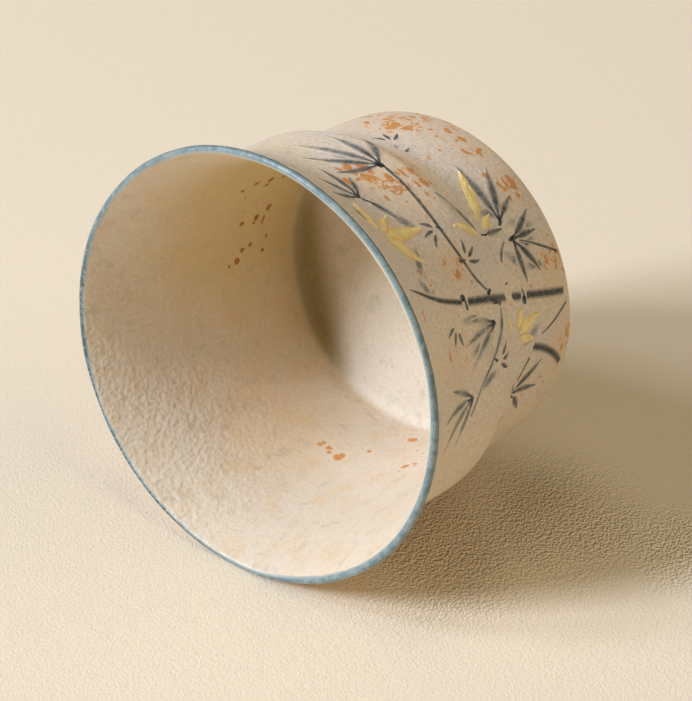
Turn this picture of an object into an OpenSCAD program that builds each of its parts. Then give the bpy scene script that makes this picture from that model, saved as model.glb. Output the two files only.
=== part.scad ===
/* [Vessel outside] */
// Radius of the lip at its widest
rim_r = 35; // [32:0.5:42]
// Reach of the lip beyond the waist under the flare
flare_out = 4.1; // [2.5:0.1:6]
// Swell of the belly beyond the waist
belly_swell = 0.05; // [0:0.05:1.5]
// Depth of the joint groove, from the belly in
groove_in = 3.15; // [1.5:0.05:4]
// Swell of the drum beyond the joint groove
drum_swell = 0.7; // [0.2:0.1:1.5]
// Draw of the drum's bottom edge, from its fullest radius in
base_draw = 0.3; // [0.1:0.1:1]
// Height of the drum, from its bottom edge to the joint groove
drum_h = 16.15; // [12:0.05:22]
// Height of the drum's fullest level over its bottom edge
bulge_h = 6; // [4:0.1:9]
// Height of the upper body, from the joint groove to the lip
upper_h = 28.7; // [24:0.1:36]
// Height of the belly's fullest level over the joint groove
belly_h = 6.65; // [5:0.05:8]
// Distance of the waist below the lip
waist_drop = 14.7; // [12:0.1:17]
// Lean of the flare at the lip, in degrees from upright
flare_lean = 30; // [20:1:36]
// Lean of the shoulder just above the joint groove, in degrees
shoulder_lean = 36; // [20:1:42]
// Lean of the drum just below the joint groove, in degrees
drum_lean = 9; // [4:1:14]
// Lean of the drum at its bottom edge, in degrees
base_lean = 6; // [2:1:10]
// Radius of the rounding of the drum's bottom edge
edge_round = 1.2; // [0.6:0.1:2]

/* [Vessel inside] */
// Thickness of the lip, across its rounding
lip_t = 1.3; // [1:0.1:2]
// Thickness of the wall at the waist
waist_wall = 2.4; // [1.8:0.1:3.2]
// Thickness of the wall behind the joint groove
groove_wall = 2; // [1.5:0.1:3]
// Thickness of the drum's wall at its fullest
drum_wall = 3.1; // [2.4:0.1:4.5]
// Thickness of the floor over the drum's bottom edge
floor_t = 2.7; // [2:0.1:4]
// Radius of the turn from the wall into the floor
well_round = 1.8; // [1:0.1:5]
// Lean of the inner wall at the lip, in degrees
mouth_lean = 27; // [18:1:32]
// Lean of the inner wall at the waist, in degrees
throat_lean = 14; // [8:1:18]
// Lean of the inner wall behind the joint groove, in degrees
bowl_lean = 5; // [2:1:8]

/* [Foot] */
// Height of the foot ring below the drum's bottom edge
foot_h = 1.5; // [1.2:0.1:4]
// Distance of the foot ring in from the drum's bottom edge
foot_inset = 4.2; // [2:0.1:7]
// Width of the foot ring
foot_t = 2.4; // [1.6:0.1:4]
// Depth of the hollow inside the foot ring
recess_h = 1.1; // [0.6:0.1:2]
// Bevel on the foot ring's standing edges
foot_bevel = 0.4; // [0.2:0.1:0.6]

/* [Glaze] */
// Thickness of the fired glaze
glaze_t = 0.2; // [0.1:0.05:0.35]
// Reach of the blue lip band down the outside
band_out = 0.9; // [0.4:0.1:2]
// Reach of the blue lip band down the inside
band_in = 0.3; // [0.2:0.1:1]

/* [Painting] */
// Length of an ink leaf whose length share is 1
ink_leaf_len = 10; // [8:0.5:12]
// Greatest width of an ink leaf
ink_leaf_w = 1.5; // [0.8:0.1:1.8]
// Length of a gold leaf whose length share is 1
gold_leaf_len = 9; // [7:0.5:10]
// Greatest width of a gold leaf
gold_leaf_w = 1.7; // [1:0.1:2]
// Width of the main cane and of the short cane
cane_w = 1.6; // [1:0.1:2]
// Width of a branch
branch_w = 0.6; // [0.4:0.05:0.8]
// Width of a twig
twig_w = 0.4; // [0.3:0.05:0.5]
// Thickness of a dried ink stroke
ink_t = 0.1; // [0.08:0.01:0.15]
// Thickness of the raised gold
gold_t = 0.22; // [0.1:0.01:0.3]

/* [Hidden] */
$fn = 96;

// Radii of the outside, each from the one above it
waist_r = rim_r - flare_out;
belly_r = waist_r + belly_swell;
groove_r = belly_r - groove_in;
drum_r = groove_r + drum_swell;
base_r = drum_r - base_draw;
foot_r = base_r - foot_inset;

// Radii of the inside, each a wall's thickness in from the outside
throat_r = waist_r - waist_wall;
bowl_r = groove_r - groove_wall;
well_r = drum_r - drum_wall;

// Levels over the standing plane
base_z = foot_h;
edge_z = base_z + edge_round;
bulge_z = base_z + bulge_h;
groove_z = base_z + drum_h;
belly_z = groove_z + belly_h;
lip_z = groove_z + upper_h;
waist_z = lip_z - waist_drop;
floor_z = base_z + floor_t;
well_z = floor_z + well_round;

// The lip's rounding, which runs from the outer to the inner wall
lip_round = lip_t / 2;
lip_mid = [rim_r - lip_round, lip_z];
flare_top = lip_mid + lip_round * [cos(flare_lean), -sin(flare_lean)];
mouth_top = lip_mid + lip_round * [-cos(mouth_lean), sin(mouth_lean)];

// Wall spans from the bottom up: level, radius and slope at either end
outer_spans = [
    [edge_z, base_r, tan(base_lean), bulge_z, drum_r, 0],
    [bulge_z, drum_r, 0, groove_z, groove_r, -tan(drum_lean)],
    [groove_z, groove_r, tan(shoulder_lean), belly_z, belly_r, 0],
    [belly_z, belly_r, 0, waist_z, waist_r, 0],
    [waist_z, waist_r, 0, flare_top[1], flare_top[0], tan(flare_lean)]
];
inner_spans = [
    [well_z, well_r, 0, groove_z, bowl_r, tan(bowl_lean)],
    [groove_z, bowl_r, tan(bowl_lean), waist_z, throat_r, tan(throat_lean)],
    [waist_z, throat_r, tan(throat_lean), mouth_top[1], mouth_top[0], tan(mouth_lean)]
];
span_steps = 8;
arc_steps = 8;
// Half the stretch over which a wall's slope is read
probe = 0.05;

// Cubic that runs from a to b over one span with given end slopes
function blend(t, a, b, slope_a, slope_b, run) =
    a * (2 * t ^ 3 - 3 * t ^ 2 + 1) + b * (3 * t ^ 2 - 2 * t ^ 3)
    + run * slope_a * (t ^ 3 - 2 * t ^ 2 + t) + run * slope_b * (t ^ 3 - t ^ 2);
function span_at(z, spans, i = 0) =
    (i == len(spans) - 1 || z <= spans[i][3]) ? spans[i] : span_at(z, spans, i + 1);
function radius_at(z, spans) =
    let (s = span_at(z, spans), run = s[3] - s[0])
    blend((z - s[0]) / run, s[1], s[4], s[2], s[5], run);
function slope_at(z, spans) =
    (radius_at(z + probe, spans) - radius_at(z - probe, spans)) / (2 * probe);
// Point of a wall, moved outward along its normal by depth
function wall_at(z, spans, depth) =
    let (m = slope_at(z, spans), k = depth / sqrt(1 + m * m))
    [radius_at(z, spans) + k, z - k * m];
function levels(spans, low, high) = concat(
    [low],
    [for (s = spans, i = [0:span_steps - 1])
        let (z = s[0] + (s[3] - s[0]) * i / span_steps)
        if (z > low + probe && z < high - probe) z],
    [high]
);
function wall_run(spans, low, high, depth) =
    [for (z = levels(spans, low, high)) wall_at(z, spans, depth)];
function arc(mid, r, from, to) =
    [for (i = [0:arc_steps]) let (a = from + (to - from) * i / arc_steps)
        mid + r * [cos(a), sin(a)]];
function backwards(points) = [for (i = [len(points) - 1:-1:0]) points[i]];
function without_ends(points) = [for (i = [1:len(points) - 2]) points[i]];

band_out_z = flare_top[1] - band_out;
band_in_z = mouth_top[1] - band_in;
edge_mid = [base_r - edge_round, edge_z];
well_mid = [well_r - well_round, well_z];

// Pieces of the section, each listed on its way from the foot up the outside,
// over the lip and down the inside, at a given depth under the glazed surface
function edge_line(depth) =
    concat([[foot_r, base_z + depth]], arc(edge_mid, edge_round - depth, -90, 0));
function outer_line(low, high, depth) = wall_run(outer_spans, low, high, -depth);
function lip_line(depth) = arc(lip_mid, lip_round - depth, -flare_lean, 180 - mouth_lean);
function inner_line(low, high, depth) = backwards(wall_run(inner_spans, low, high, depth));
function well_line(depth) = arc(well_mid, well_round + depth, 0, -90);

module coat(line_function_top, line_function_bottom) {
    rotate_extrude() polygon(concat(line_function_top, backwards(line_function_bottom)));
}

// The fired clay: wall, floor and turned foot ring in one
module clay_body() {
    outside = concat(
        edge_line(glaze_t),
        outer_line(edge_z + probe, band_out_z, glaze_t),
        without_ends(outer_line(band_out_z, flare_top[1], glaze_t)),
        lip_line(glaze_t)
    );
    inside = concat(
        without_ends(inner_line(band_in_z, mouth_top[1], glaze_t)),
        inner_line(well_z + probe, band_in_z, glaze_t),
        well_line(glaze_t)
    );
    foot = [
        [0, floor_z - glaze_t],
        [0, recess_h],
        [foot_r - foot_t - recess_h, recess_h],
        [foot_r - foot_t, foot_bevel],
        [foot_r - foot_t + foot_bevel, 0],
        [foot_r - foot_bevel, 0],
        [foot_r, foot_bevel]
    ];
    color([0.72, 0.66, 0.58]) rotate_extrude() polygon(concat(outside, inside, foot));
}

// Warm glaze that lines the bowl
module inner_glaze() {
    function line(depth) = concat(
        inner_line(well_z + probe, band_in_z, depth),
        well_line(depth),
        [[0, floor_z - depth]]
    );
    color([0.86, 0.79, 0.68]) coat(line(0), line(glaze_t));
}

// Matt glaze on the outside, from the blue band down to the foot
module outer_glaze() {
    function line(depth) = concat(
        edge_line(depth),
        outer_line(edge_z + probe, band_out_z, depth)
    );
    color([0.78, 0.71, 0.64]) coat(line(0), line(glaze_t));
}

// Blue glaze over the lip
module lip_band() {
    function line(depth) = concat(
        outer_line(band_out_z, flare_top[1], depth),
        without_ends(lip_line(depth)),
        inner_line(band_in_z, mouth_top[1], depth)
    );
    color([0.42, 0.56, 0.62]) coat(line(0), line(glaze_t));
}

// The side that carries the painting
front_az = -90;
// Clearance between the glaze and the underside of a stroke
paint_seat = 0.03;
// Half width of a stroke where it runs out
tip_half = 0.1;
// Share of a stroke's thickness that is left where it runs out
tip_crest_share = 0.5;
ink = [0.24, 0.29, 0.32];
gold = [0.80, 0.64, 0.26];

// A place on the painted side: degrees to the right of the front, and the share
// of the height from the drum's bottom edge to the lip
function place_z(place) = base_z + place[1] * (lip_z - base_z);
// Azimuth and level of a point x to the right of a place and y above it
function beside(place, x, y) =
    let (z = place_z(place))
    [front_az + place[0] + x / radius_at(z, outer_spans) * 180 / PI, z + y];
function on_wall(spot, lift) =
    let (r = radius_at(spot[1], outer_spans) + lift)
    [r * cos(spot[0]), r * sin(spot[0]), spot[1]];

// Four corners of a stroke's section at one spot: left edge, crest, right edge and
// underside, where across is the unit vector over the stroke, in azimuth and level
function section(spot, across, half, crest) = [
    on_wall(spot + half * across, paint_seat),
    on_wall(spot, paint_seat + crest),
    on_wall(spot - half * across, paint_seat),
    on_wall(spot, paint_seat)
];

// One closed stroke over a list of spots, with its half width at each
module stroke(spots, halves, thick) {
    last = len(spots) - 1;
    widest = max(halves);
    corners = [for (i = [0:last])
        let (
            r = radius_at(spots[i][1], outer_spans) * PI / 180,
            step = spots[min(i + 1, last)] - spots[max(i - 1, 0)],
            way = [step[0] * r, step[1]] / norm([step[0] * r, step[1]])
        )
        each section(spots[i], [-way[1] / r, way[0]], halves[i],
            thick * max(tip_crest_share, halves[i] / widest))];
    // Upper and lower faces are split alike, so that they never cross over the groove
    sides = [for (i = [0:last - 1], k = [0:3])
        let (a = 4 * i + k, b = 4 * i + (k + 1) % 4)
        each (k < 2
            ? [[a, a + 4, b], [b, a + 4, b + 4]]
            : [[a, a + 4, b + 4], [a, b + 4, b]])];
    tip = 4 * last;
    ends = [[0, 1, 3], [1, 2, 3], [tip, tip + 3, tip + 1], [tip + 1, tip + 3, tip + 2]];
    polyhedron(corners, concat(sides, ends));
}

// A leaf has a section about every leaf_step, so that it bends round the wall
leaf_step = 2.2;
least_sections = 5;
function leaf_spots(length) =
    let (count = max(least_sections, ceil(length / leaf_step)))
    [for (i = [0:count]) i / count];
// Power that moves a leaf's greatest width towards its root
leaf_fullness = 0.75;
// Distance of a leaf's root from the middle of its spray, as a share of its width
petiole_share = 0.68;
// Width of the shortest leaf, as a share of the full width
short_leaf_share = 0.4;

// One leaf of a spray, from its root to its tip
module leaf(place, heading, length, width, bow, thick, root) {
    at = leaf_spots(length);
    spots = [for (t = at)
        let (
            reach = root + length * t,
            a = heading + bow * (t - 1) / 2
        )
        beside(place, reach * cos(a), reach * sin(a))];
    halves = [for (t = at) max(tip_half, width / 2 * sin(180 * t ^ leaf_fullness))];
    stroke(spots, halves, thick);
}

// A spray round one place: each leaf is given by its heading, length share and bow
module spray(place, leaf_list, length, width, thick) {
    for (entry = leaf_list) {
        heading = entry[0];
        share = entry[1];
        bow = entry[2];
        narrowing = min(1, short_leaf_share + (1 - short_leaf_share) * share);
        leaf(place, heading, share * length, width * narrowing, bow, thick, petiole_share * width);
    }
}

// A smooth line through places, with section_count sections between two of them
section_count = 4;
function through(a, b, c, d, t) = 0.5 * (
    2 * b + (c - a) * t + (2 * a - 5 * b + 4 * c - d) * t ^ 2
    + (3 * b - a - 3 * c + d) * t ^ 3);
function smooth_line(places) =
    let (last = len(places) - 1)
    concat(
        [for (i = [0:last - 1], k = [0:section_count - 1])
            through(places[max(i - 1, 0)], places[i], places[i + 1],
                places[min(i + 2, last)], k / section_count)],
        [places[last]]
    );

// A line of even width that narrows at its far end to a share of that width
module line_stroke(places, width, taper_share, thick) {
    way = smooth_line(places);
    last = len(way) - 1;
    spots = [for (p = way) beside(p, 0, 0)];
    halves = [for (i = [0:last]) width / 2 * (1 - (1 - taper_share) * (i / last) ^ 2)];
    stroke(spots, halves, thick);
}
even_share = 1;

// Two lengths of the main cane below its upper joint, and the thin one above it
cane_foot_shares = [[-24.5, 0.05], [-22.4, 0.15], [-20, 0.255]];
cane_middle_shares = [[-19.4, 0.285], [-16.6, 0.40], [-14, 0.52], [-11.8, 0.63]];
cane_top_shares = [[-11.2, 0.66], [-8, 0.76], [-4, 0.86], [-1.5, 0.93]];
cane_top_width_share = 0.7;
cane_top_taper_share = 0.2;
module main_cane() {
    color(ink) {
        line_stroke(cane_foot_shares, cane_w, even_share, ink_t);
        line_stroke(cane_middle_shares, cane_w, even_share, ink_t);
        line_stroke(cane_top_shares, cane_w * cane_top_width_share, cane_top_taper_share, ink_t);
    }
}

// The dark strokes across the cane at its two joints
joint_taper_share = 0.5;
lower_joint_shares = [[-22.4, 0.272], [-20, 0.268], [-17.4, 0.274]];
upper_joint_shares = [[-13.8, 0.646], [-11.6, 0.643], [-9.2, 0.65]];
module cane_joints() {
    color(ink) {
        line_stroke(lower_joint_shares, branch_w, joint_taper_share, ink_t);
        line_stroke(upper_joint_shares, branch_w, joint_taper_share, ink_t);
    }
}

// A stout cane cut short at the lower left
short_cane_shares = [[-37.4, 0.245], [-39.5, 0.19], [-44, 0.115], [-49, 0.06]];
short_cane_taper_share = 0.9;
module short_cane() {
    color(ink) line_stroke(short_cane_shares, cane_w, short_cane_taper_share, ink_t);
}

// The long branch to the right, thick at its spray and thin at the cane, and the one
// that sweeps up to the left
right_branch_shares = [[33.2, 0.57], [24, 0.58], [14, 0.59], [4, 0.585], [-6, 0.56], [-11.5, 0.52]];
left_branch_shares = [[-17.8, 0.47], [-23.5, 0.50], [-30, 0.555], [-37, 0.63], [-44.5, 0.68]];
branch_taper_share = 0.45;
module right_branch() {
    color(ink) line_stroke(right_branch_shares, branch_w, branch_taper_share, ink_t);
}
module left_branch() {
    color(ink) line_stroke(left_branch_shares, branch_w, branch_taper_share, ink_t);
}

// The stem between the cane and the middle sprays
middle_stem_shares = [[-14.6, 0.36], [-10, 0.345], [-5, 0.315], [-1.6, 0.275]];
module middle_stem() {
    color(ink) line_stroke(middle_stem_shares, branch_w, branch_taper_share, ink_t);
}

// Fine twigs that rise from the drum's bottom edge
right_twig_shares = [[-12, 0.03], [-8.2, 0.107], [-5.2, 0.165], [-3.4, 0.205]];
left_twig_shares = [[-28.5, 0.04], [-31, 0.10], [-33, 0.15], [-34.4, 0.2]];
far_twig_shares = [[-40.7, 0.263], [-44.7, 0.299], [-48.7, 0.33]];
module base_twigs() {
    color(ink) {
        line_stroke(right_twig_shares, twig_w, branch_taper_share, ink_t);
        line_stroke(left_twig_shares, twig_w, branch_taper_share, ink_t);
        line_stroke(far_twig_shares, twig_w, branch_taper_share, ink_t);
    }
}

// Forked tips beside the joints and along the branches: where each stands, the
// heading of its first bud, and the turn from one bud to the next
twig_tip_shares = [[-16.5, 0.72], [-1, 0.565], [9.5, 0.605], [41, 0.37], [48, 0.31], [-31.5, 0.53]];
twig_tip_headings = [105, -110, 50, -85, -70, -130];
twig_fork = 42;
twig_buds = 3;
// A bud's width over a twig's, and its length and bow
bud_width_share = 1.4;
bud_length_share = 0.22;
bud_bow = 30;
// Distance of a bud's root from the middle of its fork, over a twig's width
bud_root_share = 2.5;
module twig_tips() {
    color(ink)
    for (i = [0:len(twig_tip_shares) - 1], bud = [0:twig_buds - 1])
        leaf(twig_tip_shares[i], twig_tip_headings[i] + twig_fork * bud,
            ink_leaf_len * bud_length_share, twig_w * bud_width_share, bud_bow, ink_t,
            twig_w * bud_root_share);
}

// The middle of each spray, and the heading, length share and bow of its leaves
right_place_share = [35.2, 0.57];
right_leaf_shares = [[-36, 1.2, 10], [-8, 1.05, 8], [19, 1.35, -8], [47, 1.1, -8], [76, 0.75, -10]];
rim_place_share = [27.5, 0.80];
rim_leaf_shares = [[-32, 0.45, 8], [0, 0.75, 8], [36, 0.6, -8], [74, 0.48, -10], [-150, 0.65, -10]];
centre_place_share = [4.5, 0.245];
centre_leaf_shares = [[-2, 1.05, -6], [-31, 0.9, -6], [-62, 0.5, -8]];
base_place_share = [-2.2, 0.235];
base_leaf_shares = [[-64, 0.62, 8], [-92, 0.5, 0], [-150, 0.62, -8], [-180, 0.6, 8]];
near_left_place_share = [-20.5, 0.525];
near_left_leaf_shares = [[72, 0.55, 10], [100, 0.7, 10], [128, 0.75, 10]];
far_left_place_share = [-38.5, 0.675];
far_left_leaf_shares = [[62, 0.62, 8], [93, 0.85, 6], [123, 0.95, 6], [154, 0.7, 8]];
low_left_place_share = [-51, 0.345];
low_left_leaf_shares = [[-5, 0.72, 8], [-62, 0.7, 6], [-98, 0.6, -8], [-140, 0.5, -12], [168, 0.45, 10]];
gold_centre_place_share = [3, 0.365];
gold_centre_leaf_shares = [[69, 0.7, 6], [3, 1.1, 4], [-27, 1.2, 4], [-60, 0.42, -6]];
// Ink leaves that stand between the gold ones
gold_centre_ink_shares = [[35, 0.9, 6], [-95, 0.4, 0]];
gold_rim_place_share = [14.5, 0.885];
gold_rim_leaf_shares = [[-4, 0.6, 6], [-60, 0.5, 6], [-98, 0.95, 6], [-138, 0.8, -8]];
gold_left_place_share = [-31.5, 0.357];
gold_left_leaf_shares = [[-34, 0.42, 6], [-72, 0.66, -6], [-106, 0.45, -6], [30, 0.42, 8]];
// Narrowing of the leaves in the two sprays on the left
slim_share = 0.9;

module ink_spray(place, leaf_list, width_share = 1) {
    color(ink) spray(place, leaf_list, ink_leaf_len, ink_leaf_w * width_share, ink_t);
}
module gold_spray(place, leaf_list) {
    color(gold) spray(place, leaf_list, gold_leaf_len, gold_leaf_w, gold_t);
}

module right_spray() {
    ink_spray(right_place_share, right_leaf_shares);
}
module rim_spray() {
    ink_spray(rim_place_share, rim_leaf_shares);
}
module centre_spray() {
    ink_spray(centre_place_share, centre_leaf_shares);
    ink_spray(gold_centre_place_share, gold_centre_ink_shares);
}
module base_spray() {
    ink_spray(base_place_share, base_leaf_shares);
}
module near_left_spray() {
    ink_spray(near_left_place_share, near_left_leaf_shares, slim_share);
}
module far_left_spray() {
    ink_spray(far_left_place_share, far_left_leaf_shares, slim_share);
}
module low_left_spray() {
    ink_spray(low_left_place_share, low_left_leaf_shares);
}
module gold_centre_spray() {
    gold_spray(gold_centre_place_share, gold_centre_leaf_shares);
}
module gold_rim_spray() {
    gold_spray(gold_rim_place_share, gold_rim_leaf_shares);
}
module gold_left_spray() {
    gold_spray(gold_left_place_share, gold_left_leaf_shares);
}

clay_body();
inner_glaze();
outer_glaze();
lip_band();
main_cane();
cane_joints();
short_cane();
right_branch();
left_branch();
middle_stem();
base_twigs();
twig_tips();
right_spray();
rim_spray();
centre_spray();
base_spray();
near_left_spray();
far_left_spray();
low_left_spray();
gold_centre_spray();
gold_rim_spray();
gold_left_spray();
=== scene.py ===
import math
from collections import namedtuple

import bpy
from mathutils import Matrix, Vector
from mathutils.bvhtree import BVHTree


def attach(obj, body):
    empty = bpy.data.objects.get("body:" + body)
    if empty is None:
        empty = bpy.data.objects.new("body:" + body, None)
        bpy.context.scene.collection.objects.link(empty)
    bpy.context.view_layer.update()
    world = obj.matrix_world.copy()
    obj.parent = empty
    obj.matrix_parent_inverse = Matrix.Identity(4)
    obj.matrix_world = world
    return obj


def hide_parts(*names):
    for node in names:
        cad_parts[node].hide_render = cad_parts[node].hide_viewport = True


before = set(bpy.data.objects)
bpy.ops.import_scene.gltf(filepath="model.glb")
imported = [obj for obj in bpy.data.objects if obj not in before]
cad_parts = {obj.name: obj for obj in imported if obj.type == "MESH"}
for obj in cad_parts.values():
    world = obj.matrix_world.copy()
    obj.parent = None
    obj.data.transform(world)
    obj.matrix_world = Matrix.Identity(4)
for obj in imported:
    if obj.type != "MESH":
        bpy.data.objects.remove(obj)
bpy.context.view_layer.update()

MM = 0.001

# Colours as linear light
CREAM = (0.86, 0.745, 0.605, 1)
# Tan of the painted shadow on the leather by the cup
LEATHER_PAINTED_SHADOW = (0.38, 0.28, 0.15, 1)
FILL_LIGHT = (1.0, 0.88, 0.62)
KEY_LIGHT = (0.84, 0.91, 1.0)
WARM_BEIGE = (0.86, 0.70, 0.53, 1)
PINK_GREY = (0.79, 0.68, 0.62, 1)
LILAC_GREY = (0.62, 0.55, 0.49, 1)
SAND = (0.80, 0.64, 0.44, 1)
PEPPER = (0.20, 0.17, 0.15, 1)
BOWL_TAN = (0.64, 0.48, 0.225, 1)
BOWL_PALE = (0.78, 0.67, 0.55, 1)
BOWL_FLOOR = (0.80, 0.735, 0.665, 1)
BOWL_MOSS = (0.48, 0.42, 0.30, 1)
BOWL_AMBER = (0.74, 0.50, 0.25, 1)
# Brown of the painted shade in the corner of the bowl's floor
BOWL_PAINTED_SHADE = (0.36, 0.27, 0.125, 1)
RUST = (0.70, 0.29, 0.08, 1)
PALE_RUST = (0.84, 0.58, 0.35, 1)
DARK_RUST = (0.34, 0.105, 0.010, 1)
# Milky white of the lip, which also stands in as its painted highlight
LIP_MILK_AND_HIGHLIGHT = (0.60, 0.62, 0.58, 1)
LIP_PALE = (0.28, 0.35, 0.355, 1)
LIP_BLUE = (0.16, 0.24, 0.275, 1)
LIP_DEEP = (0.045, 0.08, 0.095, 1)
INK_THIN = (0.24, 0.265, 0.275, 1)
INK_MIDDLE = (0.10, 0.125, 0.145, 1)
INK_DENSE = (0.022, 0.031, 0.040, 1)
GOLD_PALE = (1.0, 0.81, 0.37, 1)
GOLD_DEEP = (1.0, 0.57, 0.14, 1)
CLAY_BUFF = (0.42, 0.31, 0.21, 1)
CLAY_BROWN = (0.27, 0.18, 0.11, 1)

# Gloss of the matt glaze and the ink under it, and of the gold and the leather
MATT_GLOSS = 0.4
GOLD_GLOSS = 0.8
LEATHER_GLOSS = 0.2
# Roughness of the matt glaze at its smoothest and at its roughest
MATT_ROUGHNESS = (0.46, 0.62)

# Steps in which each coat is turned, and how often its faces are then divided
COAT_SIDES = 96
COAT_LEVELS = 1
# Gaps in millimetres that are closed in a CAD node's mesh, in a section, and in its cut
CAD_GAP = 0.002
SECTION_GAP = 0.01
CUT_GAP = 0.0005
# Level of the joint groove, half the height over which the glaze fills it, and how often
# its section is smoothed there
GROOVE_LEVEL = 17.65
GROOVE_FILL = 5.5
GROOVE_ROUNDS = 60
# Angle past which an edge stays sharp, and that up to which a section counts as straight
CORNER = math.radians(50)
STRAIGHT = math.radians(0.4)
# Width and depth in millimetres of the unevenness that hand turning leaves
UNEVEN_WIDTH = 11
UNEVEN_DEPTH = 0.2

# Radius in millimetres by which an angle round the wall becomes a distance, and how the
# iron is drawn out along the turning
WALL_RADIUS = 30
TURNED_OUT = (0.55, 1, 1)
# Width in millimetres of the finest grain in the glaze
DUST_MM = 0.22
# Places on the outer wall in millimetres, from where a tone starts to where it is full:
# levels of the low wall, reach from the middle of the front, and sides to left and right
LOW_WALL = (16, 5)
FRONT_MIDDLE = 4
FRONT_REACH = (20, 4)
LEFT_WALL = (-8, -28)
LIT_WALL = (4, 16)
# Levels at which the painted light on the shoulder above the groove and the painted shade
# on the crest below it begin and end, and how much lighter and darker they paint the
# glaze
SHOULDER = ((16.8, 18.4), (24, 20.5))
SHOULDER_PAINTED_LIGHT = 0.24
CREST = ((10, 14.5), (17.4, 16.2))
CREST_PAINTED_SHADE = 0.07

# In the bowl, directions with the reach along them in millimetres, from where a tone
# starts to where it is full: the glaze turns pale on the side where the light falls,
# partly its own tone and partly painted light, with an edge that drifts this far; and a
# painted shade in brown darkens the floor's corner on the side that the rim shades
LIT_PALE_SIDE = (-0.75, 0.35, 0.55)
PALE_REACH = (-4, 28)
PALE_DRIFT = 24
SHADED_CORNER_SIDE = (0.45, 0.90, -0.3)
SHADED_CORNER_REACH = (14, 21)
# Side, reach and levels of the pale part by the rim
RIM_SIDE = (1, 0, 0)
RIM_REACH = (12, 30)
RIM_LEVELS = (28, 46)
# Side, reach and levels where the glaze lies in small folds
FOLDED_SIDE = (0.20, 0.98, 0)
FOLDED_REACH = (8, 29)
FOLDED_LEVELS = (12, 38)
# Levels over which the bowl's wall turns into its floor, and over which its glaze turns
# rougher downwards
FLOOR_EDGE = (6.2, 4.6)
ROUGHER_DOWN = (34, 14)
# Middle and reach in millimetres of the place where the bowl's glaze is warm and smooth
WARM_BOWL = (((-9, 25, 24), 17),)

# Radius and level in millimetres of the middle of the lip's rounding
LIP_RADIUS = 34.35
LIP_LEVEL = 46.35
# Direction of the side on which the blue of the lip has run inwards, and how far it
# runs, as an angle over the lip's rounding
RUN_SIDE = (0.731, 0.682, 0)
RUN_ANGLE = 0.42
# Direction of the side on which it runs right over the lip, where along it this starts
# and is full as shares of the lip's radius, and how far it runs
BROAD_SIDE = (-0.959, -0.282, 0)
BROAD_START = 0.55
BROAD_FULL = 0.92
BROAD_ANGLE = 1.15
# Direction and reach in millimetres of the side on which the blue is dark and mottled
MOTTLED_SIDE = (0.2, 0.98, 0)
MOTTLED_REACH = (17, 29)
# Angles over the lip's rounding, 0 on top and growing inwards, from where a tone starts
# to where it is full: the blue's outer and inner edge, the dark line along its outer
# edge, its milky inner part, which is also a painted highlight, and the two edges of its
# dark core
BLUE_START = (-2.0, -1.6)
BLUE_END = (0.35, 0.8)
RIM_LINE = (-1.15, -1.5)
MILKY_AND_HIGHLIGHT_PART = (-0.3, 0.4)
CORE_START = (-1.35, -1.0)
CORE_END = (0.3, -0.05)
# How far the edges of the blue wander, as an angle
BLUE_WANDER = 0.9

# Middle and reach in millimetres of each patch of iron specks
OUTSIDE_SPECKS = (
    ((17, -26, 32), 7),
    ((17, -26, 23), 9),
    ((25, -14, 8), 13),
    ((20, -20, 5), 10),
    ((14, -24, 4), 10),
    ((7, -28, 5), 8),
    ((27, 2, 8), 14),
    ((-8, -27, 5), 8),
    ((-18, -21, 4), 8),
    ((0, -31, 29), 6),
    ((10, -30, 28), 6),
    ((-14, -28, 36), 8),
    ((-12, 27, 10), 10),
    ((-27, 13, 32), 8),
    ((8, 30, 33), 8),
)
# Heavier patches, where the specks run together
OUTSIDE_POOLS = (
    ((18, -25, 31), 4.5),
    ((14, -27.5, 29), 3.6),
    ((24, -16, 11), 3.2),
)
# Where the iron stands in separate dabs
OUTSIDE_DABS = (
    ((18, -25, 31), 8),
    ((13, -28, 27), 6),
    ((25, -13, 5), 8),
    ((21, -19, 5), 8),
    ((15, -24, 5), 8),
    ((9, -27, 5), 7),
    ((-9, -27, 4), 5),
)
# Where drops of iron stand in the bowl
INSIDE_SPECKS = (
    ((25, 7, 18), 9),
    ((21, 14, 16), 8),
    ((18, 19, 17), 6),
    ((-18, 19, 20), 5),
    ((-21, 13, 12), 7),
    ((-25, 6, 17), 6),
    ((2, -24, 18), 6),
)
# Share of a patch's reach within which it is at its full strength
PATCH_CORE = 0.15
# How much more iron shows within the patches of specks, and in the heavier ones
SPECK_STRENGTH = 0.30
POOL_STRENGTH = 0.24
# Spacing and largest radius in millimetres of the iron drops outside and in the bowl,
# and how scarce the large ones are
OUTSIDE_DROPS = (1.5, 1.15)
INSIDE_DROPS = (1.7, 1.15)
DROP_SCARCITY = 2.5

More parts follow.
